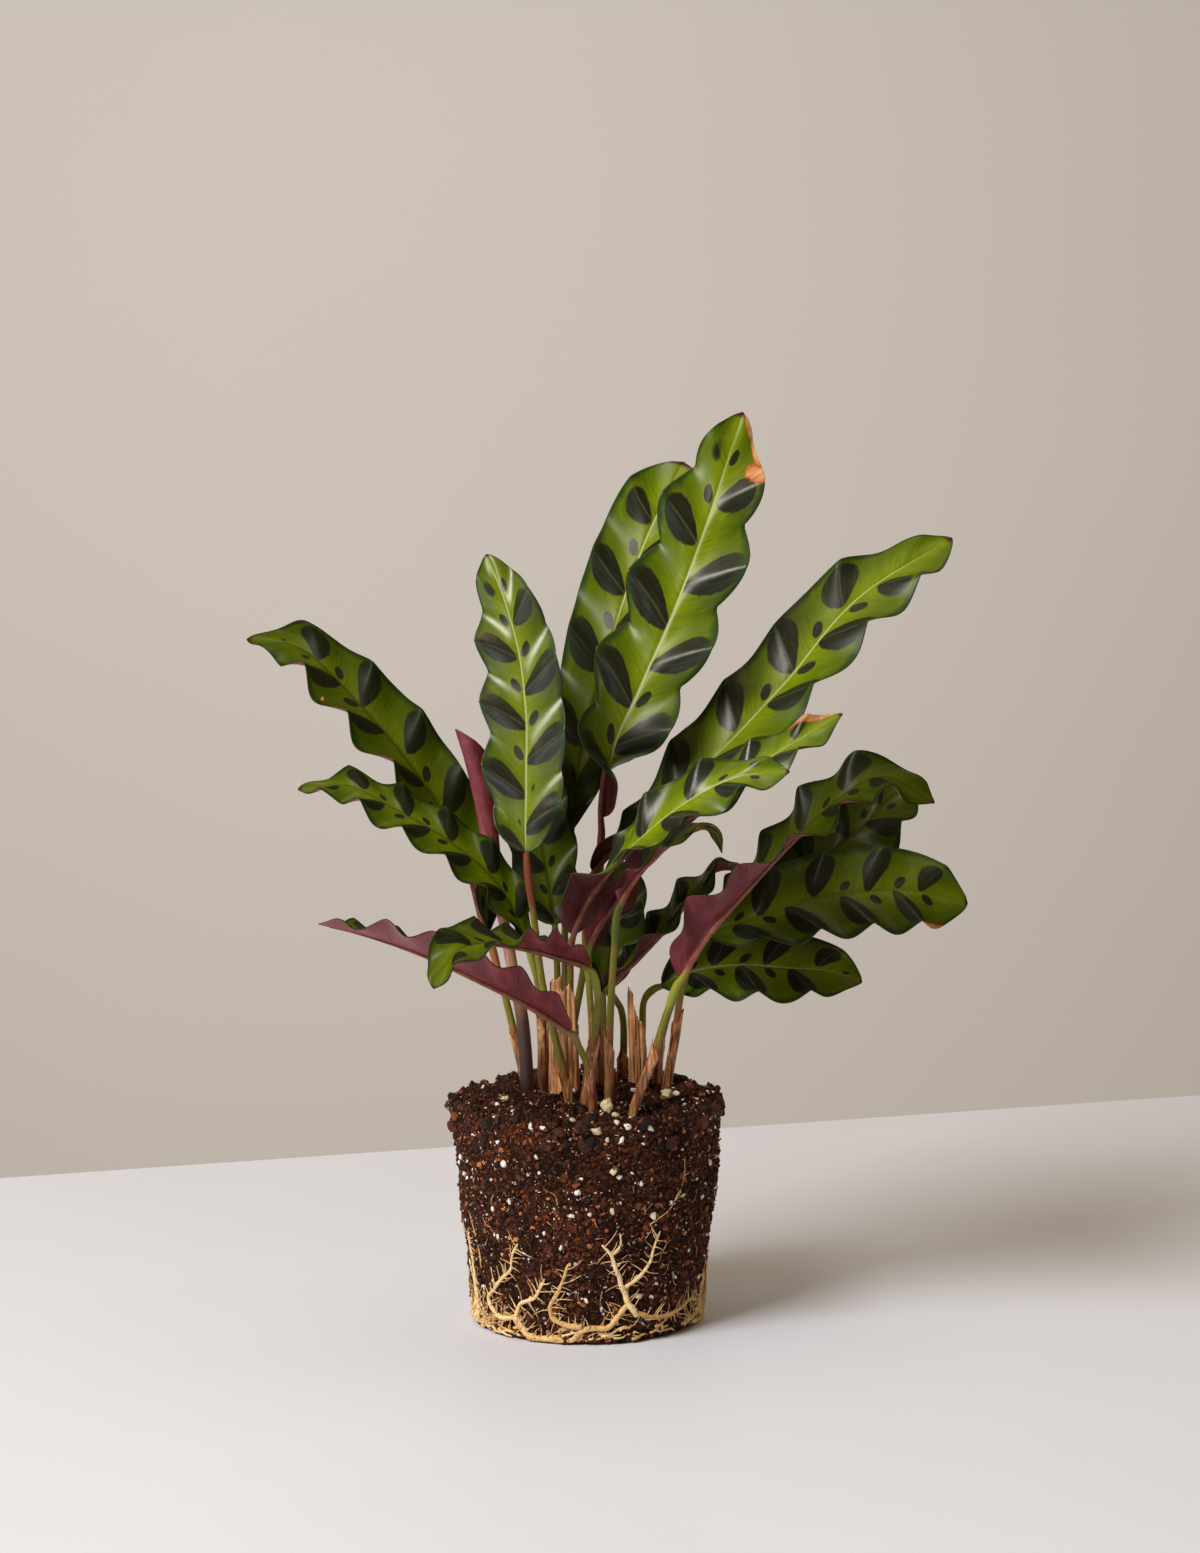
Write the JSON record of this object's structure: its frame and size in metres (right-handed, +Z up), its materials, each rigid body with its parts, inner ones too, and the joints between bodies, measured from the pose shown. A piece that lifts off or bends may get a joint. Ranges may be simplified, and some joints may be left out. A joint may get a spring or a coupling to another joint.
{
  "type": "rattlesnake plant with bare root ball",
  "caption": "Young prayer plant with long wavy patterned leaves, purple beneath, on slender stalks rising from a bare pot-shaped root ball with cream roots round its foot.",
  "frame": {"origin": "middle of the root ball's flat underside, on the surface that it stands on", "axes": "+Z up along the plant; -Y is the side that faces the viewer; +X is the viewer's right"},
  "size_m": [0.2735, 0.1531, 0.3383],
  "materials": {
    "soil": "matt moist potting mix of dark peat and bark crumbs with white perlite grains",
    "roots": "fleshy cream to straw-coloured roots, satin",
    "leaf": "glossy lime green with dark green ellipses and margin above, satin purple-maroon beneath",
    "young_leaf": "satin purple-pink rolled young leaf on a thick purple-brown stalk",
    "dry_sheath": "dry fibrous tan sheath, matt"
  },
  "bodies": {
    "root": {"root_ball": "soil", "root_net": "roots", "leaf_left_high": "leaf", "leaf_left_mid": "leaf", "leaf_low_left": "leaf", "leaf_front_drooping": "leaf", "leaf_front_upright": "leaf", "leaf_tall_back": "leaf", "leaf_tallest": "leaf", "leaf_long_right": "leaf", "leaf_right_bright": "leaf", "leaf_right_yellow": "leaf", "leaf_thin_curled": "leaf", "leaf_right_narrow": "leaf", "leaf_right_arching": "leaf", "leaf_right_dark": "leaf", "leaf_right_broad": "leaf", "leaf_right_low": "leaf", "leaf_centre_short": "leaf", "leaf_centre_small": "leaf", "leaf_rolled": "young_leaf", "dry_sheath_left": "dry_sheath", "dry_sheath_right": "dry_sheath"}
  },
  "joints": []
}
